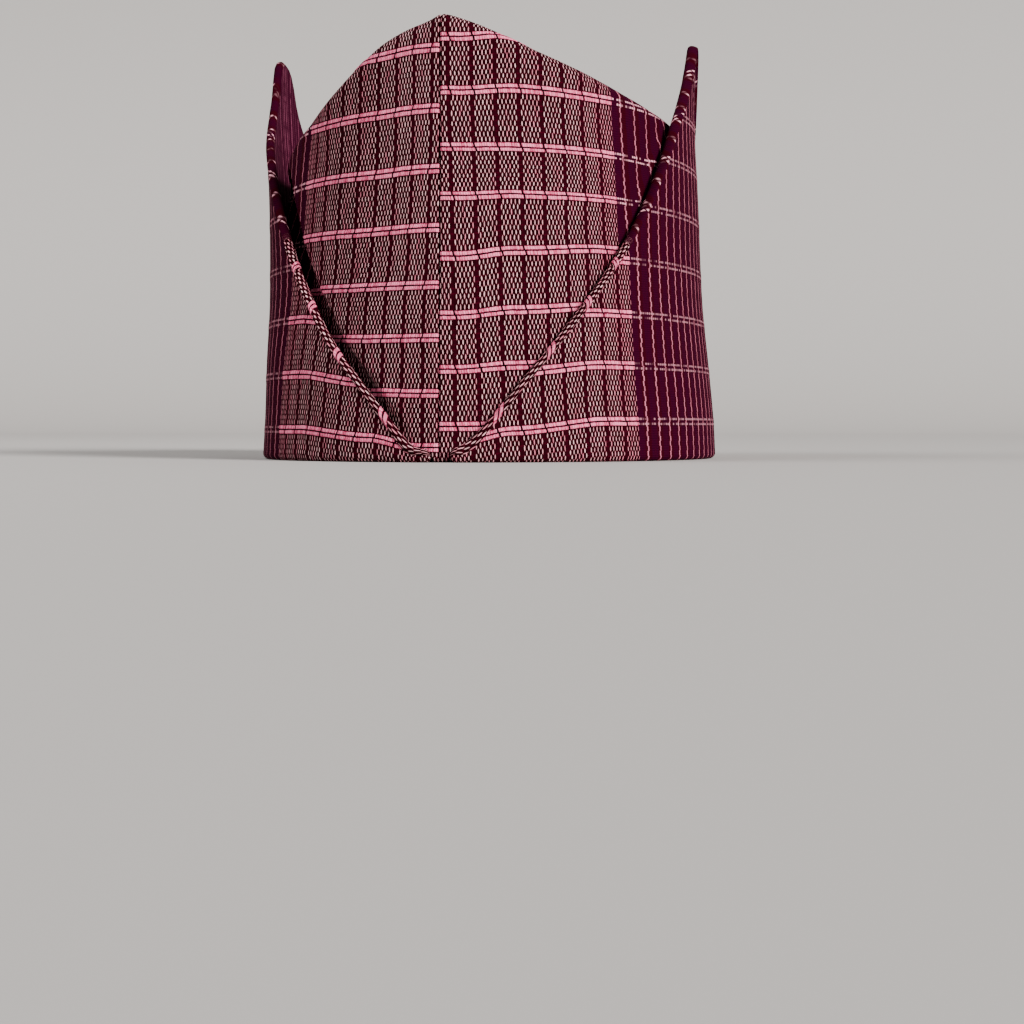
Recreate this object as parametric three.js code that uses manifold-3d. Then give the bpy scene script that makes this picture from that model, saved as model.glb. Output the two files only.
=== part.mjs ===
// Aso oke fila cap with two turned-up ear flaps, in millimetres.
// +Z is up, the front seam faces -Y and the wearer's left flap lies at +X.
// The origin is the middle of the rim on the surface that the cap rests on.
import * as THREE from 'three'
import { mergeVertices } from 'three/addons/utils/BufferGeometryUtils.js'
import Module from 'manifold-3d'

const wasm = await Module()
wasm.setup()

// Driving dimensions
const headWidth = 161          // across the inside of the crown at the rim
const headLength = 200         // front to back inside the crown at the rim
const crownWall = 2.2          // lined, strip-woven cloth
const crownHeight = 149.5      // front and back peaks above the surface
const ridgeSag = 17            // how far the top seam hangs below the peaks at mid length
const roofDent = 3             // hollow of the roof between the top seam and the shoulder
const shoulderRadius = 5       // soft turn from the wall into the roof
const prow = 2.4               // how far the front and back seams stand out as a ridge
const prowTurn = 22            // degrees to each side over which that ridge fades
const seamGap = 0.3            // between the two crown panels along their seams

const flapThickness = 3        // two layers of cloth round a stiffener
const flapClearance = 0.4      // between the crown and a flap at the rim
const earHeight = 155.5        // tips of the flaps above the surface
const foldRadius = 2.2         // outer turn of the fold along the rim
const hookThickness = 1.3      // cloth that passes under the crown's lower edge
const hookGap = 0.3            // between that cloth and the crown's lower edge
const hookEase = 0.3           // rounding at the hidden end of that cloth

// Crown panel widths going up. Columns are shares: up of crownHeight, left and right of the
// half width at the rim, long of the half length at the rim.
const crownRows = [
  { up: 0.00, left: 1.000, right: 1.000, long: 1.000 },
  { up: 0.10, left: 0.987, right: 0.987, long: 0.999 },
  { up: 0.23, left: 0.974, right: 0.965, long: 0.994 },
  { up: 0.39, left: 0.950, right: 0.931, long: 0.986 },
  { up: 0.65, left: 0.922, right: 0.885, long: 0.976 },
  { up: 0.80, left: 0.913, right: 0.872, long: 0.972 },
  { up: 1.00, left: 0.905, right: 0.865, long: 0.970 },
]

// Shoulder of each panel from the seam (turn 0) to the side (turn 1, a quarter round),
// as shares of crownHeight. The back half repeats the front half.
const shoulderRows = [
  { turn: 0.00, left: 1.000, right: 1.000 },
  { turn: 0.04, left: 0.986, right: 0.994 },
  { turn: 0.12, left: 0.968, right: 0.976 },
  { turn: 0.20, left: 0.942, right: 0.953 },
  { turn: 0.28, left: 0.902, right: 0.931 },
  { turn: 0.36, left: 0.855, right: 0.913 },
  { turn: 0.44, left: 0.811, right: 0.895 },
  { turn: 0.52, left: 0.778, right: 0.878 },
  { turn: 0.65, left: 0.755, right: 0.855 },
  { turn: 0.80, left: 0.743, right: 0.839 },
  { turn: 1.00, left: 0.738, right: 0.832 },
]

// Outer face of each flap going up. Columns are shares: up of earHeight, left and right of
// the half width over the flaps at the rim, long of the half length over the flaps there.
const flapRows = [
  { up: 0.00, left: 1.000, right: 1.000, long: 1.000 },
  { up: 0.10, left: 0.988, right: 0.990, long: 1.000 },
  { up: 0.23, left: 0.979, right: 0.967, long: 1.000 },
  { up: 0.38, left: 0.963, right: 0.939, long: 0.998 },
  { up: 0.63, left: 0.964, right: 0.921, long: 0.996 },
  { up: 0.83, left: 0.983, right: 0.909, long: 0.994 },
  { up: 1.00, left: 0.990, right: 0.918, long: 0.992 },
]

// Free edge of each flap from its front end (turn 0) to its tip at the side (turn 1), as
// shares of the way from flapEndHeight up to earHeight. The back half repeats the front half.
const edgeRows = [
  { turn: 0.00, left: 0.000, right: 0.000 },
  { turn: 0.05, left: 0.011, right: 0.022 },
  { turn: 0.10, left: 0.056, right: 0.068 },
  { turn: 0.20, left: 0.151, right: 0.166 },
  { turn: 0.30, left: 0.241, right: 0.260 },
  { turn: 0.42, left: 0.366, right: 0.372 },
  { turn: 0.55, left: 0.510, right: 0.504 },
  { turn: 0.68, left: 0.643, right: 0.655 },
  { turn: 0.76, left: 0.720, right: 0.748 },
  { turn: 0.84, left: 0.779, right: 0.831 },
  { turn: 0.90, left: 0.833, right: 0.895 },
  { turn: 0.94, left: 0.887, right: 0.943 },
  { turn: 0.97, left: 0.955, right: 0.980 },
  { turn: 1.00, left: 1.000, right: 1.000 },
]
// Degrees from the front and back seams to the ends of each flap.
const flapEnd = { left: 1.6, right: 4.2 }

// Mesh steps
const turnSteps = 18           // columns along a quarter of the crown
const turnSpread = 1.2         // above 1 it sets the columns closer together at the seams
const wallSteps = 7
const shoulderSteps = 3
const roofSteps = 5
const flapStep = 0.045         // longest step between sections of a flap, as a share of turn
const faceSteps = 6            // rows up each face of a flap
const roundSteps = 3           // chords in each quarter of a flap's rounded corners

// Worked-out sizes
const crownHalf = { width: headWidth / 2 + crownWall, length: headLength / 2 + crownWall }
const flapReach = flapClearance + flapThickness
const flapHalf = { width: crownHalf.width + flapReach, length: crownHalf.length + flapReach }
const hookReach = flapReach + crownWall
const hemHeight = hookThickness + hookGap
const flapEndHeight = foldRadius + flapThickness * 2 / 3
const quarterTurn = Math.PI / 2

// A smooth reading of a table: cubic pieces whose slopes come from the neighbouring rows.
function read(rows, axis, column, at) {
  const last = rows.length - 1
  const slope = (i) => {
    const from = rows[Math.max(i - 1, 0)]
    const to = rows[Math.min(i + 1, last)]
    return (to[column] - from[column]) / (to[axis] - from[axis])
  }
  if (at <= rows[0][axis]) return rows[0][column]
  if (at >= rows[last][axis]) return rows[last][column]
  const i = rows.findIndex((row) => row[axis] > at) - 1
  const span = rows[i + 1][axis] - rows[i][axis]
  const t = (at - rows[i][axis]) / span
  const rise = rows[i + 1][column] - rows[i][column]
  const startSlope = slope(i) * span
  const endSlope = slope(i + 1) * span
  return rows[i][column] + t * (startSlope
    + t * (3 * rise - 2 * startSlope - endSlope + t * (startSlope + endSlope - 2 * rise)))
}

// Share of a quarter turn from the nearer seam: 0 at the front and back seams, 1 at the side.
const fromSeam = (angle) => 1 - Math.abs(Math.abs(angle) - quarterTurn) / quarterTurn

// Point on an oval of the given half sizes. The angle is 0 at the front seam and grows
// towards +X; the oval stands out by the prow at both seams.
function ovalPoint(angle, halfWidth, halfLength, height) {
  const fade = Math.max(0, 1 - fromSeam(angle) * 90 / prowTurn)
  const reach = halfLength * Math.cos(angle) + Math.sign(Math.cos(angle)) * prow * fade * fade
  return new THREE.Vector3(halfWidth * Math.sin(angle), -reach, height)
}

const sideOf = (angle) => (angle < 0 ? 'left' : 'right')

// Point on a crown surface that lies inset inside the outer face.
function crownPoint(angle, height, inset) {
  const up = height / crownHeight
  const halfWidth = crownHalf.width * read(crownRows, 'up', sideOf(angle), up) - inset
  const halfLength = crownHalf.length * read(crownRows, 'up', 'long', up) - inset
  return ovalPoint(angle, halfWidth, halfLength, height)
}

// Top seam: level with the peaks at both ends and hanging between them.
function ridgeHeight(y) {
  const share = Math.min(1, Math.abs(y) / crownHalf.length)
  return crownHeight - ridgeSag * Math.cos(share * quarterTurn) ** 2
}

// One column of the crown from the lower edge up the wall, round the shoulder and across
// the roof to the top seam.
function crownColumn(angle, bottom, inset) {
  const radius = Math.max(shoulderRadius - inset, shoulderRadius / 4)
  const shoulder = crownHeight * read(shoulderRows, 'turn', sideOf(angle), fromSeam(angle)) - inset
  const column = []
  for (let i = 0; i < wallSteps; i++) {
    column.push(crownPoint(angle, bottom + (shoulder - radius - bottom) * i / wallSteps, inset))
  }
  for (let i = 0; i <= shoulderSteps; i++) {
    const bend = quarterTurn * i / shoulderSteps
    const height = shoulder - radius * (1 - Math.sin(bend))
    const point = crownPoint(angle, shoulder - radius, inset + radius * (1 - Math.cos(bend)))
    column.push(point.setZ(height))
  }
  const start = column[column.length - 1]
  const seam = crownPoint(angle, crownHeight, inset + radius).setX(0)
  seam.setZ(ridgeHeight(seam.y) - inset)
  for (let i = 1; i <= roofSteps; i++) {
    const across = i / roofSteps
    const point = start.clone().lerp(seam, across)
    point.z -= roofDent * Math.sin(across * Math.PI) * fromSeam(angle)
    column.push(i < roofSteps ? point : seam)
  }
  return column
}

// Closed body from a list of rings of points, all of one length. The rings are joined in
// turn, and each end is closed by the function given for it.
function solidFromRings(rings, closeEnds) {
  const size = rings[0].length
  const points = rings.flat()
  const faces = []
  const quad = (a, b, c, d) => faces.push([a, b, c], [a, c, d])
  for (let r = 0; r + 1 < rings.length; r++) {
    for (let i = 0; i < size; i++) {
      const next = (i + 1) % size
      quad(r * size + i, r * size + next, (r + 1) * size + next, (r + 1) * size + i)
    }
  }
  closeEnds(faces, points, size, rings.length)
  const geometry = new THREE.BufferGeometry().setFromPoints(points)
  geometry.setIndex(faces.flat())
  return cleaned(geometry)
}

// The same geometry with equal points merged and empty triangles dropped.
function cleaned(geometry) {
  const merged = mergeVertices(geometry, 1e-4)
  const index = merged.index.array
  const kept = []
  for (let i = 0; i < index.length; i += 3) {
    const [a, b, c] = index.slice(i, i + 3)
    if (a !== b && b !== c && c !== a) kept.push(a, b, c)
  }
  merged.setIndex(kept)
  return merged
}

function toManifold(geometry) {
  return new wasm.Manifold(new wasm.Mesh({
    numProp: 3,
    vertProperties: new Float32Array(geometry.attributes.position.array),
    triVerts: new Uint32Array(geometry.index.array),
  }))
}

function fromManifold(solid) {
  const mesh = solid.getMesh()
  const geometry = new THREE.BufferGeometry()
  geometry.setAttribute('position', new THREE.BufferAttribute(mesh.vertProperties, 3))
  geometry.setIndex(new THREE.BufferAttribute(mesh.triVerts, 1))
  return geometry
}

// Angles of the crown's columns, all the way round and alike on both sides of the seams.
function crownAngles() {
  const quarter = []
  for (let i = 1; i < turnSteps; i++) quarter.push(quarterTurn * (i / turnSteps) ** turnSpread)
  const half = [...quarter, quarterTurn, ...quarter.map((angle) => Math.PI - angle).reverse()]
  return [...half.map((angle) => -angle).reverse(), 0, ...half, Math.PI]
}

// Whole crown form as a solid block. Its rings run all the way round, so the last ring
// folds flat onto the top seam, and a fan closes the bottom.
function crownBlock(bottom, inset) {
  const columns = []
  for (const angle of crownAngles()) columns.push(crownColumn(angle, bottom, inset))
  const rings = columns[0].map((_, row) => columns.map((column) => column[row]))
  return toManifold(solidFromRings(rings, (faces, points, size) => {
    const middle = points.push(new THREE.Vector3(0, 0, bottom)) - 1
    for (let i = 0; i < size; i++) faces.push([(i + 1) % size, i, middle])
  }))
}

// Box that covers everything on the other side of a panel's seam edge.
function otherSide(side) {
  const reach = 2 * (headLength + crownHeight)
  const box = new THREE.BoxGeometry(reach, reach, reach)
  box.deleteAttribute('normal')
  box.deleteAttribute('uv')
  box.translate(side * (seamGap / 2 - reach / 2), 0, 0)
  return toManifold(mergeVertices(box))
}

function crownPanel(side) {
  const shell = crownBlock(hemHeight, 0).subtract(crownBlock(hemHeight - crownWall, crownWall))
  return fromManifold(shell.subtract(otherSide(side)))
}

// Closed outline of a flap's section as [inset from the outer face, height] pairs: up the
// outer face, over the rounded free edge, down the inner face and under the crown's edge.
function flapSection(edgeHeight) {
  const half = flapThickness / 2
  const outline = []
  const arc = (inset, height, radius, start, quarters) => {
    for (let i = 0; i <= roundSteps * quarters; i++) {
      const bend = start + quarterTurn * i / roundSteps
      outline.push([inset - radius * Math.cos(bend), height + radius * Math.sin(bend)])
    }
  }
  const faceTop = edgeHeight - half
  arc(foldRadius, foldRadius, foldRadius, -quarterTurn, 1)
  for (let i = 1; i < faceSteps; i++) {
    outline.push([0, foldRadius + (faceTop - foldRadius) * i / faceSteps])
  }
  arc(half, faceTop, half, 0, 2)
  for (let i = 1; i < faceSteps; i++) {
    outline.push([flapThickness, faceTop + (hookThickness - faceTop) * i / faceSteps])
  }
  outline.push([flapThickness, hookThickness])
  outline.push([hookReach - hookEase, hookThickness])
  outline.push([hookReach, hookThickness - hookEase])
  outline.push([hookReach, hookEase])
  outline.push([hookReach - hookEase, 0])
  return outline
}

function flapRing(side, angle) {
  const name = side < 0 ? 'left' : 'right'
  const firstTurn = flapEnd[name] / 90
  const turn = (fromSeam(angle) - firstTurn) / (1 - firstTurn)
  const rise = (earHeight - flapEndHeight) * read(edgeRows, 'turn', name, turn)
  return flapSection(flapEndHeight + rise).map(([inset, height]) => {
    const up = height / earHeight
    const halfWidth = flapHalf.width * read(flapRows, 'up', name, up) - inset
    const halfLength = flapHalf.length * read(flapRows, 'up', 'long', up) - inset
    return ovalPoint(side * angle, halfWidth, halfLength, height)
  })
}

// Angles of a flap's sections: at every row of the edge table and evenly between rows.
function flapAngles(name) {
  const start = THREE.MathUtils.degToRad(flapEnd[name])
  const angles = [start]
  for (let row = 1; row < edgeRows.length; row++) {
    const from = edgeRows[row - 1].turn
    const span = edgeRows[row].turn - from
    const steps = Math.ceil(span / flapStep)
    for (let i = 1; i <= steps; i++) {
      angles.push(start + (quarterTurn - start) * (from + span * i / steps))
    }
  }
  const back = angles.slice(0, -1).map((angle) => Math.PI - angle).reverse()
  return [...angles, ...back]
}

// One flap, lofted from its front end to its back end, with flat ends.
function earFlap(side) {
  const name = side < 0 ? 'left' : 'right'
  const rings = flapAngles(name).map((angle) => flapRing(side, angle))
  if (side > 0) rings.reverse()
  const outline = flapSection(earHeight).map(([inset, height]) => new THREE.Vector2(inset, height))
  return solidFromRings(rings, (faces, points, size, count) => {
    for (const [a, b, c] of THREE.ShapeUtils.triangulateShape(outline, [])) {
      faces.push([a, b, c])
      faces.push([a, c, b].map((i) => i + (count - 1) * size))
    }
  })
}

const cloth = {
  panel: { color: 0x6e2a3a, roughness: 0.85, metalness: 0 },
  flap: { color: 0x541226, roughness: 0.85, metalness: 0 },
}

function piece(name, geometry, finish) {
  const mesh = new THREE.Mesh(geometry, new THREE.MeshStandardMaterial(finish))
  mesh.name = name
  return mesh
}

const group = new THREE.Group()
group.add(piece('crown_panel_left', crownPanel(-1), cloth.panel))
group.add(piece('crown_panel_right', crownPanel(1), cloth.panel))
group.add(piece('ear_flap_left', earFlap(-1), cloth.flap))
group.add(piece('ear_flap_right', earFlap(1), cloth.flap))

export default group
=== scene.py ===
import math
import bmesh
import bpy
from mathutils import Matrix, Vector, noise


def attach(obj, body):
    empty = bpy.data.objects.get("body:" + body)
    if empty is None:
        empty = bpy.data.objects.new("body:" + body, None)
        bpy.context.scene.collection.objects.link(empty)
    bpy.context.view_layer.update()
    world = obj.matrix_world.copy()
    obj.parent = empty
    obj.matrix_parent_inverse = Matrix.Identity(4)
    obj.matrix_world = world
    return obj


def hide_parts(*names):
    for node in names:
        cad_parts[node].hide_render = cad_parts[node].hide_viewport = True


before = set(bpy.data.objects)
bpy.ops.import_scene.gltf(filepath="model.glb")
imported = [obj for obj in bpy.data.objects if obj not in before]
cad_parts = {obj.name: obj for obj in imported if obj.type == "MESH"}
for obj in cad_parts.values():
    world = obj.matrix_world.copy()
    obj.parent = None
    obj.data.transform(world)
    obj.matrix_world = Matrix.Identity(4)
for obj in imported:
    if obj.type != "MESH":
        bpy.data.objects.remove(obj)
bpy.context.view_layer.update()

mm = 0.001
mapScale = 100  # mm of cloth to one unit of the cloth map


def show(name, data):
    made = bpy.data.objects.new(name, data)
    bpy.context.scene.collection.objects.link(made)
    return made


# Camera: a little to the right of the front seam, low, with the whole cap in the upper half
view = {"azimuth": 9.771, "distance": 0.7313, "height": 0.01165, "lens": 66.35, "turn": 0.6155, "dip": 2.561}

eye = bpy.data.cameras.new("photoCamera")
eye.lens = view["lens"]
eye.clip_start, eye.clip_end = 0.01, 50
eyeObject = show("photoCamera", eye)
around = math.radians(view["azimuth"])
away = view["distance"]
eyeObject.location = (away * math.sin(around), -away * math.cos(around), view["height"])
eyeObject.rotation_euler = (math.radians(90 - view["dip"]), 0, around - math.radians(view["turn"]))
bpy.context.scene.camera = eyeObject
print("camera ready")

# Sizes that follow the solids
cap = {
    "halfWidth": 82.7 * mm,       # outside of the crown at the rim
    "halfLength": 102.2 * mm,
    "height": 149.5 * mm,         # front and back peaks
    "wall": 2.2 * mm,
    "ridgeSag": 17 * mm,
    "roofDent": 3 * mm,
    "shoulder": 5 * mm,
    "prow": 2.4 * mm,
    "prowTurn": 22,               # degrees
    "hem": 1.6 * mm,              # lower edge of the crown above the floor
    "flapThickness": 3 * mm,
    "flapReach": 3.4 * mm,        # outside of a flap from the crown at the rim
    "earHeight": 155.5 * mm,
    "fold": 2.2 * mm,             # radius of the fold along the rim
    "hook": 1.3 * mm,             # cloth that passes under the crown
    "flapEnd": {-1: 1.6, 1: 2.7},  # degrees from the seams to the ends of the flaps
    "hollow": {-1: 6.4 * mm, 1: -1.5 * mm},  # how far the crown falls back beside the free edge of a flap
    "hollowFrom": {-1: (4, 30), 1: (62, 112)},  # mm
    "hollowReach": {-1: 3.8 * mm, 1: 2 * mm},
}

# Shares of the half width (left, right) and half length going up the crown
crownRows = [
    (0.00, 1.000, 1.000, 1.000), (0.10, 0.987, 0.987, 0.999), (0.23, 0.974, 0.965, 0.994),
    (0.39, 0.950, 0.931, 0.986), (0.65, 0.922, 0.885, 0.976), (0.80, 0.913, 0.872, 0.972),
    (1.00, 0.905, 0.865, 0.970),
]
# Shoulder height (left, right) from the seam to the side
shoulderRows = [
    (0.00, 1.000, 1.000), (0.04, 0.986, 0.994), (0.12, 0.968, 0.976), (0.20, 0.942, 0.953),
    (0.28, 0.905, 0.931), (0.36, 0.866, 0.913), (0.44, 0.832, 0.895), (0.52, 0.800, 0.878),
    (0.65, 0.770, 0.855), (0.80, 0.752, 0.839), (1.00, 0.744, 0.832),
]
# Shares of the half width (left, right) and half length going up the outer face of the flaps
flapRows = [
    (0.00, 1.000, 1.000, 1.000), (0.10, 0.988, 0.990, 1.000), (0.23, 0.979, 0.967, 1.000),
    (0.38, 0.963, 0.939, 0.998), (0.63, 0.964, 0.918, 0.996), (0.83, 0.983, 0.900, 0.994),
    (1.00, 0.990, 0.906, 0.992),
]
# Free edge of the flaps (left front, right front, left back, right back) from the seam to the tip
edgeRows = [
    (0.00, 0.000, 0.000, 0.000, 0.000), (0.05, 0.011, 0.022, 0.016, 0.016),
    (0.10, 0.056, 0.068, 0.062, 0.062), (0.20, 0.151, 0.166, 0.158, 0.158),
    (0.30, 0.241, 0.260, 0.250, 0.250), (0.42, 0.366, 0.372, 0.369, 0.369),
    (0.55, 0.510, 0.504, 0.507, 0.507), (0.68, 0.643, 0.655, 0.649, 0.649),
    (0.76, 0.720, 0.748, 0.734, 0.734), (0.84, 0.779, 0.828, 0.800, 0.798),
    (0.90, 0.833, 0.890, 0.884, 0.872), (0.925, 0.866, 0.922, 0.949, 0.936),
    (0.945, 0.895, 0.946, 0.978, 0.975), (0.97, 0.955, 0.978, 0.989, 0.992),
    (0.985, 0.983, 0.993, 0.992, 0.998), (1.00, 0.993, 1.000, 0.993, 1.000),
]


# A smooth reading of one column of a table at a place of its first column
def read(rows, column, at):
    last = len(rows) - 1
    if at <= rows[0][0]:
        return rows[0][column]
    if at >= rows[last][0]:
        return rows[last][column]
    i = next(n for n in range(last) if rows[n + 1][0] > at)

    def slope(n):
        low, high = rows[max(n - 1, 0)], rows[min(n + 1, last)]
        return (high[column] - low[column]) / (high[0] - low[0])

    span = rows[i + 1][0] - rows[i][0]
    t = (at - rows[i][0]) / span
    rise = rows[i + 1][column] - rows[i][column]
    first, second = slope(i) * span, slope(i + 1) * span
    curve = 3 * rise - 2 * first - second + t * (first + second - 2 * rise)
    return rows[i][column] + t * (first + t * curve)


# The same column read once at even steps, for the many points of a mesh
def reader(rows, column, steps=400):
    low, high = rows[0][0], rows[-1][0]
    values = [read(rows, column, low + (high - low) * n / steps) for n in range(steps + 1)]

    def at(x):
        place = min(max((x - low) / (high - low), 0), 1) * steps
        n = min(int(place), steps - 1)
        return values[n] + (values[n + 1] - values[n]) * (place - n)

    return at


def smooth(low, high, x):
    t = min(max((x - low) / (high - low), 0), 1)
    return t * t * (3 - 2 * t)


# 0 at the seams, 1 at the sides
def fromSeam(angle):
    return 1 - abs(abs(angle) - math.pi / 2) / (math.pi / 2)


# The rim's oval, drawn out to a low prow at both seams
def oval(angle, halfWidth, halfLength):
    fade = max(0, 1 - fromSeam(angle) * 90 / cap["prowTurn"])
    reach = halfLength * math.cos(angle) + math.copysign(cap["prow"] * fade * fade, math.cos(angle))
    return halfWidth * math.sin(angle), -reach


# Columns from the front seam to the back seam, closer together at both
def columnAngles(steps, start, spread):
    quarter = [start + (math.pi / 2 - start) * (n / steps) ** spread for n in range(steps + 1)]
    return quarter + [math.pi - angle for angle in reversed(quarter[:-1])]


# Length along an oval over the columns, counted from the nearer seam
def alongOval(angles, halfWidth, halfLength):
    points = [Vector(oval(angle, halfWidth, halfLength)) for angle in angles]
    middle = len(angles) // 2
    along = [(points[0] - Vector(oval(0, halfWidth, halfLength))).length]
    for n in range(middle):
        along.append(along[-1] + (points[n + 1] - points[n]).length)
    return along + along[-2::-1]


# Height of the free edge of a flap over a set of columns, and its slope
def freeEdge(side, angles, run):
    firstTurn = cap["flapEnd"][side] / 90
    foot = cap["fold"] + cap["flapThickness"] * 2 / 3
    edges = []
    for angle in angles:
        column = (1 if side < 0 else 2) + (2 if angle > math.pi / 2 else 0)
        share = read(edgeRows, column, (fromSeam(angle) - firstTurn) / (1 - firstTurn))
        edges.append(foot + (cap["earHeight"] - foot) * share)
    slopes = []
    middle = len(angles) // 2
    for n in range(len(angles)):
        a, b = max(n - 1, 0), min(n + 1, len(angles) - 1)
        rise = abs(edges[b] - edges[a])
        slopes.append(0 if n == middle else math.atan2(rise, abs(run[b] - run[a]) or 1e-6))
    return edges, slopes


weave = {
    "row": 1.66,          # mm from one row of floats to the next
    "repeat": 11,         # rows from one pink band to the next
    "block": 8.2,         # mm from one plain stripe to the next
    "plain": 1.15,        # mm of plain stripe
    "firstStripe": 2.8,   # mm from the seam to the middle of the first one
    "columns": 5,         # floats across a block
    "firstColumn": 0.05,  # mm from a plain stripe to the first of them
    "stagger": 0.62,      # mm that the floats of every other row are shifted
    "floatWide": 0.205,   # mm, half of a float's width
    "floatHigh": 0.74,    # mm, half of its height at least
    "floatVaries": 0.24,  # mm more for the highest
    "waver": 0.26,        # mm that rows and columns waver
    "firstBreak": 3,      # mm from the seam to the first gap in a pink band
    "hatch": 0.88,        # mm from one dark stitch of a band to the next
    "pick": 0.62,         # mm of one thread of a band
    "slant": 0.35,        # mm that both lean over a row
    "rib": 0.83,          # mm from one rib of the plain side to the next
    "lineStagger": 0.42,  # mm that its lines are shifted every other row
    "dotStep": 1.3,       # mm from one dot on it to the next
    "thread": 1.3,        # mm from one thread of the lining to the next
    "bandRaise": 0.28 * mm,
    "bandHalf": 1.45,     # mm, half of a band's height
    "liningUp": 1000,     # mm that the lining lies further up on the cloth map
    "edgeAlong": 180,     # mm where the plain rolled edge starts on it
}
bandStep = weave["row"] * weave["repeat"]


# Heights of the weft bands in mm near the seam, a little further and at the end of the checked
# strip, lowest first; the cloth is not quite level
crownBands = {
    -1: [(5, 6, 8), (23, 23.5, 26), (41.5, 41.6, 43), (59, 59, 59.5), (78, 77.6, 78), (97.5, 96.8, 97),
         (117.5, 116.6, 116), (137.5, 136, 134.5), (156, 154, 153)],
    1: [(12, 12.3, 14.5), (31, 32.5, 35), (48.9, 50.9, 53), (68.5, 70.8, 72.8), (88.6, 89.6, 90.2),
        (104.6, 105.1, 105.5), (123.4, 124.8, 124.3), (141, 143, 143), (159, 161, 161)],
}
flapBands = {
    -1: [(-13, -12, -8), (5, 8.3, 11), (22.5, 26.5, 30.2), (41, 45, 49.3), (59, 63, 67.8), (78, 82, 86.5),
         (97, 101, 105), (116, 119, 123.5), (134, 138, 142), (153, 157, 160)],
    1: [(-12, -8, -5), (6.8, 10.5, 13.8), (24, 30, 33), (42, 48, 50.5), (60, 66, 69), (79, 85, 88),
        (98, 104, 106.5), (117, 122, 124.5), (135, 140, 143), (154, 158, 161)],
}
# How far the warp leans from the plumb line, in mm, at heights in mm
crownLean = {
    -1: [(0, 3.0), (20, 3.0), (50, 3.2), (70, 2.2), (100, 1.2), (130, 0.4), (160, 0)],
    1: [(0, 2.8), (20, 2.7), (50, 2.2), (80, 1.6), (100, 1.0), (130, 0), (160, 0)],
}
flapLean = {
    -1: [(0, 12), (10, 11.9), (20, 11), (35, 8.6), (50, 5), (62, 2.8), (72, 3), (82, 4.6), (95, 7.6),
         (160, 12)],
    1: [(0, 9.6), (20, 9), (36, 8.8), (52, 9.2), (70, 9), (85, 9), (100, 10), (112, 12), (130, 16),
        (160, 20)],
}


# Cloth height for a point of a face: bands lie at whole numbers of bandStep
def clothHeight(bands, up, along):
    def level(band):
        near, middle, far = band
        return near + (middle - near) * smooth(6, 26, along) + (far - middle) * smooth(24, 62, along)

    n = 0
    while n < len(bands) - 2 and level(bands[n + 1]) < up:
        n += 1
    low, high = level(bands[n]), level(bands[n + 1])
    return (n + (up - low) / (high - low)) * bandStep


# Raised weft bands, fainter past the checked strip
def bandRelief(clothUp, clothAlong):
    away = abs((clothUp / bandStep + 0.5) % 1 - 0.5) * bandStep
    strength = 1 - 0.65 * smooth(66, 69, clothAlong)
    half = weave["bandHalf"]
    return weave["bandRaise"] * strength * (1 - smooth(half * 0.72, half * 1.12, away))


# A rounded edge: how far the face turns in at a distance from the edge
def edgeTurn(distance, width, depth):
    t = 1 - min(max(distance / width, 0), 1)
    return depth * (1 - math.sqrt(max(0, 1 - t * t)))


# Grid of points given by place(column, row), with its cloth coordinates on a UV map
def layGrid(bm, columns, rows, place, clothLayer):
    made = bmesh.ops.create_grid(bm, x_segments=columns, y_segments=rows, size=0.5)
    coordinates = {}
    for vert in made["verts"]:
        column = round((vert.co.x + 0.5) * columns)
        row = round((vert.co.y + 0.5) * rows)
        point, clothAlong, clothUp = place(column, row)
        vert.co = point
        coordinates[vert] = (clothAlong / mapScale, clothUp / mapScale)
    for face in {face for vert in made["verts"] for face in vert.link_faces}:
        for loop in face.loops:
            loop[clothLayer].uv = coordinates[loop.vert]


def smoothMesh(bm, name):
    for face in bm.faces:
        face.smooth = True
    mesh = bpy.data.meshes.new(name)
    bm.to_mesh(mesh)
    bm.free()
    return mesh


# Joins the layers at their edges, parents the piece to the root and hides the solid it stands for
def closeAndShow(bm, name, finish, node):
    bmesh.ops.remove_doubles(bm, verts=bm.verts, dist=0.012 * mm)
    bmesh.ops.dissolve_degenerate(bm, edges=bm.edges, dist=0.002 * mm)
    bmesh.ops.recalc_face_normals(bm, faces=bm.faces)
    if bm.calc_volume(signed=True) < 0:
        bmesh.ops.reverse_faces(bm, faces=bm.faces)
    mesh = smoothMesh(bm, name)
    mesh.materials.append(finish)
    piece = show(name, mesh)
    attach(piece, "root")
    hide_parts(node)
    return piece


# A socket that can be used in sums
class Wire:
    def __init__(self, finish, socket):
        self.finish = finish
        self.socket = socket

    def __add__(self, other):
        return self.finish.math("ADD", self, other)

    def __radd__(self, other):
        return self.finish.math("ADD", other, self)

    def __sub__(self, other):
        return self.finish.math("SUBTRACT", self, other)

    def __rsub__(self, other):
        return self.finish.math("SUBTRACT", other, self)

    def __mul__(self, other):
        return self.finish.math("MULTIPLY", self, other)

    def __rmul__(self, other):
        return self.finish.math("MULTIPLY", other, self)

    def __truediv__(self, other):
        return self.finish.math("DIVIDE", self, other)

    def __mod__(self, other):
        return self.finish.math("FLOORED_MODULO", self, other)

    def __lt__(self, other):
        return self.finish.math("LESS_THAN", self, other)

    def __gt__(self, other):
        return self.finish.math("GREATER_THAN", self, other)

    def __abs__(self):
        return self.finish.math("ABSOLUTE", self)

    def floor(self):
        return self.finish.math("FLOOR", self)

    def power(self, other):
        return self.finish.math("POWER", self, other)


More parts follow.
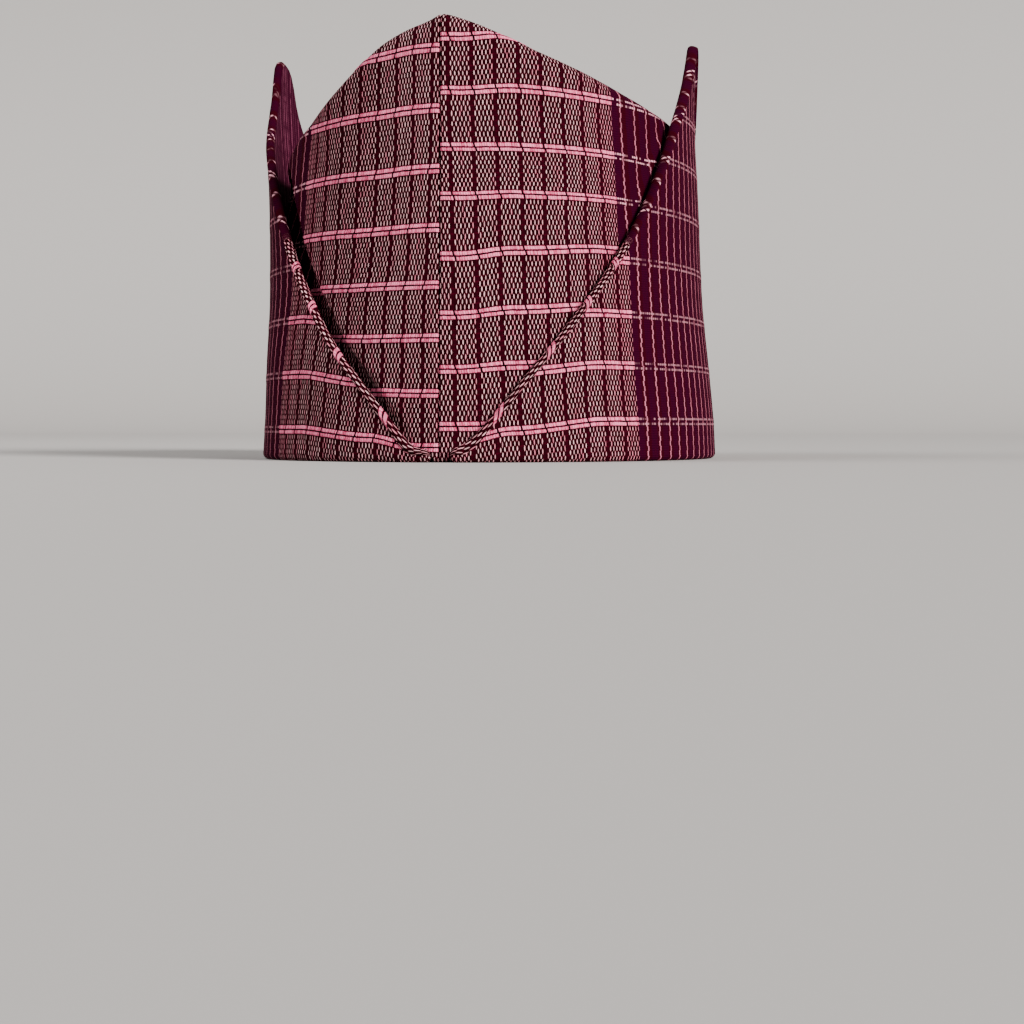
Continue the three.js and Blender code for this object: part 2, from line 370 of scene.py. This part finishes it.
class Finish:
    def __init__(self, name):
        self.material = bpy.data.materials.new(name)
        self.material.use_nodes = True
        self.tree = self.material.node_tree
        self.tree.nodes.clear()

    def add(self, kind, settings, inputs):
        node = self.tree.nodes.new(kind)
        for key, value in settings.items():
            setattr(node, key, value)
        for key, value in inputs.items():
            if isinstance(value, Wire):
                self.tree.links.new(value.socket, node.inputs[key])
            else:
                node.inputs[key].default_value = value
        return node

    def math(self, operation, *values):
        node = self.add("ShaderNodeMath", {"operation": operation}, dict(enumerate(values)))
        return Wire(self, node.outputs[0])

    # 0 at low, 1 at high
    def rise(self, low, high, value):
        node = self.add("ShaderNodeMapRange", {"interpolation_type": "SMOOTHSTEP"},
                        {"Value": value, "From Min": low, "From Max": high})
        return Wire(self, node.outputs["Result"])

    # 1 at low, 0 at high
    def fall(self, low, high, value):
        return 1 - self.rise(low, high, value)

    def mix(self, share, first, second):
        node = self.add("ShaderNodeMix", {"data_type": "RGBA"}, {0: share, 6: first, 7: second})
        return Wire(self, node.outputs[2])

    def point(self, x, y):
        return Wire(self, self.add("ShaderNodeCombineXYZ", {}, {0: x, 1: y}).outputs[0])

    def cloud(self, x, y, detail=2.0):
        node = self.add("ShaderNodeTexNoise", {"noise_dimensions": "2D"},
                        {"Vector": self.point(x, y), "Scale": 1.0, "Detail": detail})
        return Wire(self, node.outputs["Fac"])

    def chance(self, x, y):
        node = self.add("ShaderNodeTexWhiteNoise", {"noise_dimensions": "2D"}, {"Vector": self.point(x, y)})
        return Wire(self, node.outputs["Value"])


# Colour from values of 0 to 255
def tint(red, green, blue):
    parts = [value / 255 for value in (red, green, blue)]
    return (*[p / 12.92 if p <= 0.04045 else ((p + 0.055) / 1.055) ** 2.4 for p in parts], 1.0)


yarn = {
    "ground": tint(7, 0, 0),
    "groundWarm": tint(40, 0, 8),
    "gap": tint(42, 2, 13),
    "burgundy": tint(80, 0, 26),
    "cream": tint(240, 184, 188),
    "rose": tint(224, 130, 148),
    "pinkBand": tint(255, 138, 170),
    "pinkDeep": tint(158, 26, 68),
    "maroon": tint(47, 1, 12),
    "purple": tint(44, 0, 28),
    "line": tint(196, 112, 134),
    "dot": tint(236, 164, 178),
    "lining": tint(58, 9, 33),
    "liningThread": tint(184, 96, 126),
}


# The cloth map in mm, and the rows of the weave on it
class Cloth(Finish):
    def __init__(self, name):
        super().__init__(name)
        sheet = self.add("ShaderNodeUVMap", {"uv_map": "cloth"}, {})
        parts = self.add("ShaderNodeSeparateXYZ", {}, {0: Wire(self, sheet.outputs[0])})
        rawAlong, rawUp = Wire(self, parts.outputs[0]) * mapScale, Wire(self, parts.outputs[1]) * mapScale
        self.rawAlong, self.rawUp = rawAlong, rawUp
        self.along = rawAlong + (self.cloud(rawAlong / 2.6, rawUp / 1.7) - 0.5) * weave["waver"]
        up = rawUp + (self.cloud(rawAlong / 4.5, rawUp / 3.1 + 40) - 0.5) * weave["waver"]
        rows = up / weave["row"] + 1
        self.row = rows.floor()
        self.rowShare = rows - self.row
        self.rowAway = abs(self.rowShare - 0.5) * weave["row"]
        self.odd = self.row % 2
        self.inBand = (self.row % weave["repeat"]) < 1.5
        self.slub = self.cloud(rawAlong / 0.9, rawUp / 3.5, 3.0)
        self.rib = abs((rawUp / weave["rib"]) % 1 - 0.5) * 2


# Checked strip: dark ground with columns of pale floats
def checkedStrip(f):
    blocks = (f.along - weave["firstStripe"]) / weave["block"]
    block = blocks.floor()
    inBlock = (blocks - block) * weave["block"]
    pitch = (weave["block"] - weave["plain"]) / weave["columns"]

    # one row of floats; they reach a little into the rows above and below
    def floats(row, odd, rowAway):
        shift = (odd - 0.5) * -weave["stagger"]
        columns = (inBlock - weave["plain"] / 2 - weave["firstColumn"] + shift) / pitch
        column = columns.floor()
        columnAway = abs(columns - column - 0.5) * pitch
        inColumns = (column > -0.5) * (column < weave["columns"] - 0.5)
        luck = f.chance(column + block * 7, row)
        half = weave["floatHigh"] + luck * weave["floatVaries"]
        reach = (columnAway / weave["floatWide"]).power(2) + (rowAway / half).power(2)
        shown = f.fall(0.55, 1.25, reach) * inColumns * ((row % weave["repeat"]) > 1.5)
        return shown, column, columnAway, inColumns, luck, reach

    shown, column, columnAway, inColumns, luck, reach = floats(f.row, f.odd, f.rowAway)
    nextRow = f.row + (f.rowShare > 0.5) * 2 - 1
    nextShown = floats(nextRow, 1 - f.odd, weave["row"] - f.rowAway)[0]
    columnLuck = f.chance(column + block * 7, 3)

    # ground with burgundy weft, and deep pink thread that joins the floats of a column
    weft = f.rise(0.45, 0.85, f.rowAway) * f.rise(0.35, 0.6, f.slub)
    joined = f.fall(0.1, 0.34, columnAway) * inColumns * (0.25 + 0.5 * luck)
    colour = f.mix(f.slub, yarn["ground"], yarn["groundWarm"])
    colour = f.mix((1 - inColumns) * (0.15 + 0.9 * f.slub), colour, yarn["gap"])
    colour = f.mix(weft * 0.4, colour, yarn["burgundy"])
    colour = f.mix(joined * (0.2 + (columnLuck > 0.8) * 0.4), colour, yarn["pinkDeep"])
    # darker ground all round each float: partly the dark ground of the cloth between floats, partly painted
    # shade beside the raised floats
    colour = f.mix(f.fall(1.2, 3.2, reach) * inColumns * 0.7, colour, yarn["ground"])

    # floats, rosier far from the seam
    rosy = f.rise(40, 66, f.along) * 0.5 + f.rise(0.5, 1.0, luck) * 0.6 + (columnLuck > 0.62) * 0.4
    floatColour = f.mix(rosy, yarn["cream"], yarn["rose"])
    shade = 0.55 + 0.45 * f.chance(column + block * 7, f.row + 0.5)
    colour = f.mix(f.math("MAXIMUM", shown * shade, nextShown * 0.75), colour, floatColour)
    return colour, shown


# Pink weft bands, each of two rows broken near the plain stripes
def pinkBands(f):
    lower = 1 - (f.row % weave["repeat"])
    breakAt = f.along - weave["firstBreak"] - lower * 0.75 + (f.rowShare - 0.5) * 0.4 + weave["block"] / 2
    breakAway = abs(breakAt % weave["block"] - weave["block"] / 2)
    slanted = f.rawAlong + weave["slant"] * f.rowShare
    hatch = abs((slanted / weave["hatch"]) % 1 - 0.5) * 2
    shown = f.fall(0.50 + hatch * 0.06, 0.62 + hatch * 0.08, f.rowAway) * f.rise(0.22, 0.44, breakAway)
    grain = f.cloud(f.rawAlong / 0.55, f.rawUp / 0.4)
    pick = f.chance((slanted / weave["pick"]).floor(), f.row + 0.75)
    shade = f.rise(0.3, 1.0, hatch) * 0.3 + f.rise(0.46, 0.66, grain) * 0.35
    shade = shade + f.rise(0.3, 0.6, f.rowAway) * 0.25 + f.rise(0.15, 1.0, pick) * 0.6
    colour = f.mix(shade * 0.88, yarn["pinkBand"], yarn["pinkDeep"])
    return f.mix(shown, yarn["ground"], colour), shown, 1 - 0.35 * f.rise(0.3, 0.9, hatch)


# Plain side of the strip: thin warp lines, dots where the bands go on, and broken marks on the
# rolled edge
def plainSide(f, checkedTo, firstLine, lineStep, dotShare):
    turns = (f.along - checkedTo) / lineStep * 2 * math.pi + 0.4
    stripes = f.rise(-0.3, 0.3, f.math("SINE", turns))
    colour = f.mix(stripes * 0.6 + (f.slub - 0.5) * 0.9, yarn["maroon"], yarn["purple"])
    ribShade = f.rise(0.5, 1.0, f.rib) * 0.5 * f.rise(0.3, 0.6, f.slub)
    colour = f.mix(ribShade, colour, yarn["ground"])

    lineAt = f.along - firstLine + (f.odd - 0.5) * weave["lineStagger"] + lineStep / 2
    lineAway = abs(lineAt % lineStep - lineStep / 2)
    line = f.fall(0.22, 0.46, lineAway) * (0.55 + 0.45 * f.chance(f.row, 8.5))
    line = line * (f.along > firstLine - lineStep / 2)
    dotPlace = f.along / weave["dotStep"]
    dotLuck = f.chance(dotPlace.floor(), f.row + 0.25)
    dotAway = abs(dotPlace % 1 - 0.5)
    dots = f.fall(0.24, 0.42, f.rowAway) * f.fall(0.26, 0.44, dotAway) * f.rise(0.1, 0.6, dotLuck)

    onEdge = f.along > weave["edgeAlong"]
    line = line * (1 - onEdge * (f.chance(f.row, 4.5) < 0.55) * 0.85)
    line = line * (1 - onEdge * f.rise(0.2, 0.6, f.rowAway) * 0.8)
    dots = dots * f.inBand * (dotShare + onEdge * 0.5) * (1 - onEdge * (dotLuck < 0.5) * 0.9)
    colour = f.mix(line * 0.92, colour, f.mix(onEdge, yarn["line"], yarn["dot"]))
    return f.mix(dots, colour, yarn["dot"]), f.math("MAXIMUM", line, dots)


# Plum lining with fine warp threads
def liningCloth(f):
    threads = f.rawAlong / weave["thread"] + (f.cloud(f.rawAlong / 9, f.rawUp / 14) - 0.5) * 1.2
    threadLuck = f.chance(threads.floor(), 5.5)
    thread = f.fall(0.12, 0.34, abs(threads % 1 - 0.5)) * f.rise(0.35, 1.0, threadLuck)
    colour = f.mix(f.rib * 0.35 + f.slub * 0.2, yarn["lining"], yarn["ground"])
    colour = f.mix(thread * 0.5 * f.rise(0.3, 0.6, f.slub), colour, yarn["liningThread"])
    return colour, thread * 0.3 + f.rib * 0.15


# The whole cloth: checked from the seam on, then plain, and the lining further up on the map
def wovenFinish(name, strip):
    f = Cloth(name)
    checked = f.along < strip["checkedTo"]
    lining = f.rawUp > weave["liningUp"] / 2
    checkedColour, floatShown = checkedStrip(f)
    bandColour, bandShown, bandLift = pinkBands(f)
    plainColour, plainRaised = plainSide(f, **strip)
    liningColour, liningRaised = liningCloth(f)
    colour = f.mix(checked, plainColour, f.mix(f.inBand, checkedColour, bandColour))
    colour = f.mix(lining, colour, liningColour)

    raised = f.math("MAXIMUM", floatShown * 0.8, f.inBand * bandShown * bandLift) * checked
    raised = f.math("MAXIMUM", raised, plainRaised * 0.7 * (1 - checked))
    raised = raised + f.rise(0.3, 1.0, 1 - f.rib) * 0.2 * (1 - checked) + f.slub * 0.12
    raised = raised * (1 - lining) + liningRaised * lining
    bump = f.add("ShaderNodeBump", {}, {"Strength": 0.8, "Distance": 0.5 * mm, "Height": raised})
    silky = f.math("MAXIMUM", floatShown * checked, f.inBand * bandShown * checked)
    roughness = 0.86 - 0.26 * silky * (1 - lining)
    shader = f.add("ShaderNodeBsdfPrincipled", {}, {
        "Base Color": colour, "Roughness": roughness, "Normal": Wire(f, bump.outputs[0]),
        "Specular IOR Level": 0.015})
    f.add("ShaderNodeOutputMaterial", {}, {"Surface": Wire(f, shader.outputs[0])})
    return f.material


# mm from the seam to the end of the checks and to the first line, mm from line to line, dot strength
crownStrip = {"checkedTo": 67.4, "firstLine": 72.4, "lineStep": 8.7, "dotShare": 0.9}
flapStrip = {"checkedTo": 66.9, "firstLine": 71.6, "lineStep": 7.3, "dotShare": 0.36}
crownCloth = wovenFinish("crownCloth", crownStrip)
flapCloth = wovenFinish("flapCloth", flapStrip)
print("cloth finishes ready")


crownMesh = {
    "quarterColumns": 80, "spread": 1.3, "wallRows": 206, "shoulderRows": 9, "roofRows": 56,
    "seamGap": 0.1 * mm,          # from the middle plane to each panel
    "hemDrop": 1.4 * mm,          # lower hem between the ends of the flaps
    "edgeRound": 1.1 * mm,        # the layers round off to meet at every edge
    "bandFade": 1.4 * mm,         # where the bands flatten towards an edge
    "slump": 0.5 * mm,
    "slumpAlong": 26,             # mm from one slump to the next
    "slumpUp": 30,                # mm
    "gather": {-1: 4.7, 1: 0.9},  # mm that the warp is drawn aside towards the top
    "hollowFade": 24 * mm,        # how far the hollow goes on behind the flap
}


# How far the warp is drawn aside, from mm along and up
def gathered(side, along, up):
    share = smooth(-4, 24, along) - 0.2 * smooth(32, 52, along)
    share += 0.9 * smooth(50, 62, along) * smooth(95, 125, up)
    return crownMesh["gather"][side] * share * smooth(0, 105, up)


def crownPanel(name, side):
    columnOf = 1 if side < 0 else 2
    widthAt, lengthAt = reader(crownRows, columnOf), reader(crownRows, 3)
    leanAt = reader(crownLean[side], 1)
    angles = columnAngles(crownMesh["quarterColumns"], 0, crownMesh["spread"])
    rim = alongOval(angles, cap["halfWidth"], cap["halfLength"])
    top = alongOval(angles, cap["halfWidth"] * widthAt(1), cap["halfLength"] * lengthAt(1))
    shoulders = [cap["height"] * read(shoulderRows, columnOf, fromSeam(angle)) for angle in angles]
    wallRows, shoulderSteps = crownMesh["wallRows"], crownMesh["shoulderRows"]
    roofRows = crownMesh["roofRows"]
    flapFrom = math.radians(cap["flapEnd"][side])
    edges, slopes = freeEdge(side, angles, rim)
    radius = cap["shoulder"]
    bend = radius * math.pi / 2

    def hemAt(angle):
        pastEnd = min(angle, math.pi - angle) / flapFrom
        return cap["hem"] - crownMesh["hemDrop"] * (1 - smooth(0.85, 1.1, pastEnd))

    hems = [hemAt(angle) for angle in angles]

    def wallPoint(angle, height, inset):
        up = height / cap["height"]
        halfWidth, halfLength = cap["halfWidth"] * widthAt(up), cap["halfLength"] * lengthAt(up)
        x, y = oval(side * angle, halfWidth - inset, halfLength - inset)
        return Vector((x, y, height))

    # height on the wall, and the way past its top over the shoulder and the roof
    def climb(column, row, wallTop, roofLength):
        if row <= wallRows:
            return hems[column] + (wallTop - hems[column]) * row / wallRows, 0
        if row <= wallRows + shoulderSteps:
            return wallTop, bend * (row - wallRows) / shoulderSteps
        return wallTop, bend + roofLength * (row - wallRows - shoulderSteps) / roofRows

    # the crown falls back beside the free edge of the flap
    def hollowAt(column, height, wallTop):
        beside = (height - edges[column]) * math.cos(slopes[column])
        hollow = 1 - smooth(-0.6, 1, beside / cap["hollowReach"][side])
        hollow *= 1 - smooth(0, crownMesh["hollowFade"], -beside)
        hollow *= smooth(*cap["hollowFrom"][side], height / mm) * smooth(0, 10 * mm, wallTop - height)
        return cap["hollow"][side] * hollow

    # a point of the roof, inwards from the shoulder to the ridge
    def roofPoint(column, across, seamStart, inset):
        ridgeY = wallPoint(angles[column], cap["height"], radius).y
        sag = math.cos(min(1, abs(ridgeY) / cap["halfLength"]) * math.pi / 2) ** 2
        seamZ = cap["height"] - cap["ridgeSag"] * sag
        dent = cap["roofDent"] * math.sin(across * math.pi) * fromSeam(angles[column])
        x = seamStart.x * (1 - across)
        y = seamStart.y + (ridgeY - seamStart.y) * across
        z = shoulders[column] + (seamZ - shoulders[column]) * across - dent - inset
        return Vector((x, y, z))

    def place(column, row, layer):
        angle = angles[column]
        wallTop = shoulders[column] - radius
        seamStart = wallPoint(angle, wallTop, radius).xy
        roofLength = abs(seamStart.x)
        height, past = climb(column, row, wallTop, roofLength)
        share = (1 - widthAt(height / cap["height"])) / (1 - widthAt(1))
        along = (rim[column] + (top[column] - rim[column]) * share) / mm
        clothAlong = along - leanAt(height / mm) + gathered(side, along, height / mm)
        clothUp = clothHeight(crownBands[side], height / mm, along) + past / mm
        toEdge = min(rim[column], height - hems[column] + past, max(bend + roofLength - past, 0))
        turn = edgeTurn(toEdge, crownMesh["edgeRound"], cap["wall"] / 2)

        spot = Vector((along / crownMesh["slumpAlong"], clothUp / crownMesh["slumpUp"], 3.1 * side))
        free = smooth(0, 25, along) * smooth(1, 12, height / mm)
        swell = crownMesh["slump"] * (noise.noise(spot) - 0.35) * free * smooth(0, 4 * mm, toEdge)
        if past == 0:
            swell -= hollowAt(column, height, wallTop)
        if layer == "outer":
            inset = turn - swell - bandRelief(clothUp, clothAlong) * smooth(0, crownMesh["bandFade"], toEdge)
        else:
            inset = cap["wall"] - turn - swell
            clothUp += weave["liningUp"]

        if past == 0:
            point = wallPoint(angle, height, inset)
        elif past <= bend:
            turned, rounding = past / radius, radius - inset
            point = wallPoint(angle, wallTop, inset + rounding * (1 - math.cos(turned)))
            point.z = wallTop + rounding * math.sin(turned)
        else:
            point = roofPoint(column, (past - bend) / max(roofLength, 1e-6), seamStart, inset)
        point.x = side * max(side * point.x, crownMesh["seamGap"])
        return point, clothAlong, clothUp

    bm = bmesh.new()
    clothLayer = bm.loops.layers.uv.new("cloth")
    rows = wallRows + shoulderSteps + roofRows
    for layer in ("outer", "inner"):
        layGrid(bm, len(angles) - 1, rows, lambda c, r: place(c, r, layer), clothLayer)
    node = "crown_panel_left" if side < 0 else "crown_panel_right"
    return closeAndShow(bm, name, crownCloth, node)


flapMesh = {
    "quarterColumns": 76, "spread": 1.15, "faceRows": 232, "rollRows": 18, "innerRows": 70, "foldRows": 6,
    "underRows": 5, "ledgeRows": 4,
    "topWidth": 0.955,            # share of the half width that the cloth follows at the top
    "leanFade": (84, 144),        # mm along where most of the lean goes
    "bandFade": 1.5 * mm,         # where the bands flatten towards the roll
    "faceSink": 0.2 * mm,         # the face sinks in by this beside the roll
    "rollWidth": 1.25 * mm,       # half of the roll's width
    "rollWiden": (1.45, 0.45),    # how many times wider at the ends, and how much of it goes
    "rollWidenTo": (4 * mm, 30 * mm),
    "rollRaise": 0.8 * mm,        # how far the roll stands out
    "earRaise": {-1: 0.3 * mm, 1: 1.1 * mm},  # the same at the ears
    "earFrom": (60 * mm, 120 * mm),           # heights between which it changes
    "rollFrom": -55,              # degrees
    "rollGather": 1.1,
    "hookTurn": 0.3 * mm,         # slant at the end of the cloth under the crown
    "endRound": 2.2 * mm,
    "endDepth": 0.45,             # where the ends come to a point, as a share of the depth
    # Cloth of the roll, in mm and degrees
    "edgeStart": 5.4,
    "checkedFrom": 27.6,
    "checkedTurn": 13,
    "checkedMore": {-1: 7, 1: 1},  # the checked strip goes on this much further on the roll
    "plainShift": 16 * flapStrip["lineStep"],  # a whole number of lines, past edgeAlong
}


# Cloth of the rolled edge over the columns, None where it is plain: the warp runs nearly along the
# edge of the checked strip, and starts again inside every pink band so that no plain stripe shows
def rolledCloth(side, rim, edges, leanAt):
    rolled = {}
    middle = len(edges) // 2
    for order in (range(len(edges) - 1, middle, -1), range(middle + 1)):
        last, upRoll = None, flapMesh["edgeStart"]
        for n in order:
            plainFrom = flapStrip["checkedTo"] + flapMesh["checkedMore"][side]
            plain = rim[n] / mm - leanAt(edges[n] / mm) > plainFrom
            turn = math.radians(flapMesh["checkedTurn"])
            if last is not None:
                gather = 0.6 + 0.4 * smooth(20, 75, edges[n] / mm)
                upRoll += math.hypot(rim[n] - rim[last], edges[n] - edges[last]) / mm * gather
            alongRoll = flapMesh["checkedFrom"] + upRoll % bandStep * math.tan(turn)
            rolled[n] = None if plain else (alongRoll, upRoll, turn)
            last = n
    return rolled


# One closed section of a flap, from under the crown round the fold, up the face, over the roll and
# down the inside: kind of surface and share along it
def flapPlan():
    plan = [("under", n / flapMesh["underRows"]) for n in range(flapMesh["underRows"])]
    plan += [("fold", n / flapMesh["foldRows"]) for n in range(flapMesh["foldRows"])]
    for kind in ("face", "roll", "inner", "ledge"):
        steps = flapMesh[kind + "Rows"]
        plan += [(kind, n / steps) for n in range(steps + 1)]
    return plan + [("under", 0)]


def earFlap(name, side):
    columnOf = 1 if side < 0 else 2
    widthAt, lengthAt = reader(flapRows, columnOf), reader(flapRows, 3)
    leanAt = reader(flapLean[side], 1)
    start = math.radians(cap["flapEnd"][side])
    angles = columnAngles(flapMesh["quarterColumns"], start, flapMesh["spread"])
    halfWidth, halfLength = cap["halfWidth"] + cap["flapReach"], cap["halfLength"] + cap["flapReach"]
    rim = alongOval(angles, halfWidth, halfLength)
    top = alongOval(angles, halfWidth * flapMesh["topWidth"], halfLength * lengthAt(1))
    edges, slopes = freeEdge(side, angles, rim)
    rolled = rolledCloth(side, rim, edges, leanAt)
    half = cap["flapThickness"] / 2
    hookReach = cap["flapReach"] + cap["wall"]
    rollFrom = math.radians(flapMesh["rollFrom"])
    plan = flapPlan()

    def onFace(column, height):
        at = rim[column] / mm + (top[column] - rim[column]) / mm * smooth(0, 1, height / cap["earHeight"])
        lean = leanAt(height / mm) * (1 - 0.8 * smooth(*flapMesh["leanFade"], at))
        return at - lean, clothHeight(flapBands[side], height / mm, at)

    # half width and half height of the roll, which is wider towards the ends of the flap
    def rollSize(column):
        most, less = flapMesh["rollWiden"]
        rollWidth = flapMesh["rollWidth"] * (most - less * smooth(*flapMesh["rollWidenTo"], rim[column]))
        limit = (edges[column] - cap["fold"]) * 0.5
        return rollWidth, min(rollWidth / max(math.cos(slopes[column]), 0.2), limit)

    # inset, height and cloth on the roll, bend being the turn round it
    def onRoll(column, bend, rollWidth, rollHeight, faceTop):
        raised = flapMesh["rollRaise"]
        raised += (flapMesh["earRaise"][side] - raised) * smooth(*flapMesh["earFrom"], edges[column])
        inset = half - (half + raised * max(math.cos(bend), 0)) * math.cos(bend)
        height = edges[column] - rollHeight + rollHeight * math.sin(bend)
        travel = (bend - rollFrom) * (half + rollWidth) / 2 / mm * flapMesh["rollGather"]
        if rolled[column] is None:
            clothAlong, clothUp = onFace(column, faceTop)
            return inset, height, clothAlong + flapMesh["plainShift"], clothUp + travel
        alongRoll, upRoll, turn = rolled[column]
        return inset, height, alongRoll + travel * math.cos(turn), upRoll - travel * math.sin(turn)

    def place(column, row):
        kind, share = plan[row]
        rollWidth, rollHeight = rollSize(column)
        rollMiddle = edges[column] - rollHeight
        faceTop = rollMiddle + rollHeight * math.sin(rollFrom)
        lining, relief = 0, 0
        if kind == "under":
            underFrom = hookReach - flapMesh["hookTurn"]
            inset, height = underFrom + (cap["fold"] - underFrom) * share, 0
            clothAlong, clothUp = onFace(column, 0)
            clothUp -= inset / mm
        elif kind == "fold":
            bend = math.pi / 2 * share
            inset, height = cap["fold"] * (1 - math.sin(bend)), cap["fold"] * (1 - math.cos(bend))
            clothAlong, clothUp = onFace(column, cap["fold"])
            clothUp -= cap["fold"] / mm * (math.pi / 2 - bend)
        elif kind == "face":
            height = cap["fold"] + (faceTop - cap["fold"]) * share
            clothAlong, clothUp = onFace(column, height)
            free = smooth(0, flapMesh["bandFade"], (faceTop - height) * math.cos(slopes[column]))
            relief = bandRelief(clothUp, clothAlong) * free
            inset = flapMesh["faceSink"] * (1 - free)
        elif kind == "roll":
            bend = rollFrom + (math.pi - rollFrom) * share
            inset, height, clothAlong, clothUp = onRoll(column, bend, rollWidth, rollHeight, faceTop)
        elif kind == "inner":
            inset, height = cap["flapThickness"], rollMiddle + (cap["hook"] - rollMiddle) * share
            clothAlong, clothUp, lining = rim[column] / mm, height / mm, weave["liningUp"]
        else:
            inset = cap["flapThickness"] + (hookReach - cap["flapThickness"]) * share
            height = cap["hook"]
            clothAlong, clothUp, lining = rim[column] / mm, height / mm - inset / mm, weave["liningUp"]
        # both ends round off to a point
        end = edgeTurn(rim[column] - rim[0], flapMesh["endRound"], 1)
        inset += (hookReach * flapMesh["endDepth"] - inset) * end
        height += (cap["fold"] - height) * end
        inset -= relief * (1 - end)
        up = height / cap["earHeight"]
        x, y = oval(side * angles[column], halfWidth * widthAt(up) - inset, halfLength * lengthAt(up) - inset)
        return Vector((x, y, height)), clothAlong, clothUp + lining

    bm = bmesh.new()
    clothLayer = bm.loops.layers.uv.new("cloth")
    layGrid(bm, len(angles) - 1, len(plan) - 1, place, clothLayer)
    node = "ear_flap_left" if side < 0 else "ear_flap_right"
    return closeAndShow(bm, name, flapCloth, node)


panelLeft = crownPanel("crownPanelLeft", -1)
panelRight = crownPanel("crownPanelRight", 1)
print("crown panels ready")
flapLeft = earFlap("earFlapLeft", -1)
flapRight = earFlap("earFlapRight", 1)
print("ear flaps ready")

# Plain pale floor that turns up into a wall far behind the cap, in metres
studio = {"width": 9.0, "front": 4.0, "back": 2.6, "cove": 1.2, "wall": 5.0, "tone": tint(175, 171, 168),
          "air": tint(226, 226, 226), "airStrength": 0.47, "aim": (0, 0, 0.07)}


def backdrop():
    def only(kind, geometry):
        return [g for g in geometry if isinstance(g, kind)]

    bm = bmesh.new()
    a = bm.verts.new((-studio["width"] / 2, -studio["front"], 0))
    b = bm.verts.new((studio["width"] / 2, -studio["front"], 0))
    made = bmesh.ops.extrude_edge_only(bm, edges=[bm.edges.new((a, b))])["geom"]
    verts, edges = only(bmesh.types.BMVert, made), only(bmesh.types.BMEdge, made)
    bmesh.ops.translate(bm, verts=verts, vec=(0, studio["front"] + studio["back"], 0))
    curl = bmesh.ops.spin(bm, geom=verts + edges, cent=(0, studio["back"], studio["cove"]), axis=(1, 0, 0),
                          angle=math.pi / 2, steps=24)["geom_last"]
    made = bmesh.ops.extrude_edge_only(bm, edges=only(bmesh.types.BMEdge, curl))["geom"]
    bmesh.ops.translate(bm, verts=only(bmesh.types.BMVert, made), vec=(0, 0, studio["wall"]))
    bmesh.ops.recalc_face_normals(bm, faces=bm.faces)
    floor = show("paleFloor", smoothMesh(bm, "paleFloor"))
    f = Finish("paleFloor")
    shader = f.add("ShaderNodeBsdfPrincipled", {}, {"Base Color": studio["tone"], "Roughness": 0.9,
                                                    "Specular IOR Level": 0.1})
    f.add("ShaderNodeOutputMaterial", {}, {"Surface": Wire(f, shader.outputs[0])})
    floor.data.materials.append(f.material)


backdrop()

lamps = [
    {"name": "keyLight", "kind": "SUN", "place": (1.0, -0.76, 0.62), "size": 0.4, "power": 7.1,
     "colour": (1.0, 0.985, 0.97)},
    {"name": "fillLight", "kind": "AREA", "place": (-1.3, -0.7, 1.2), "size": 1.5, "power": 25,
     "colour": (0.98, 0.99, 1.0)},
]
for lamp in lamps:
    light = bpy.data.lights.new(lamp["name"], lamp["kind"])
    light.energy = lamp["power"]
    light.color = lamp["colour"]
    if lamp["kind"] == "SUN":
        light.angle = lamp["size"]
    else:
        light.shape = "DISK"
        light.size = lamp["size"]
    lightObject = show(lamp["name"], light)
    lightObject.location = lamp["place"]
    towards = Vector(studio["aim"]) - Vector(lamp["place"])
    lightObject.rotation_euler = towards.to_track_quat("-Z", "Y").to_euler()
world = bpy.data.worlds.new("studioAir")
world.use_nodes = True
background = world.node_tree.nodes["Background"]
background.inputs["Color"].default_value = studio["air"]
background.inputs["Strength"].default_value = studio["airStrength"]
bpy.context.scene.world = world
print("studio ready")
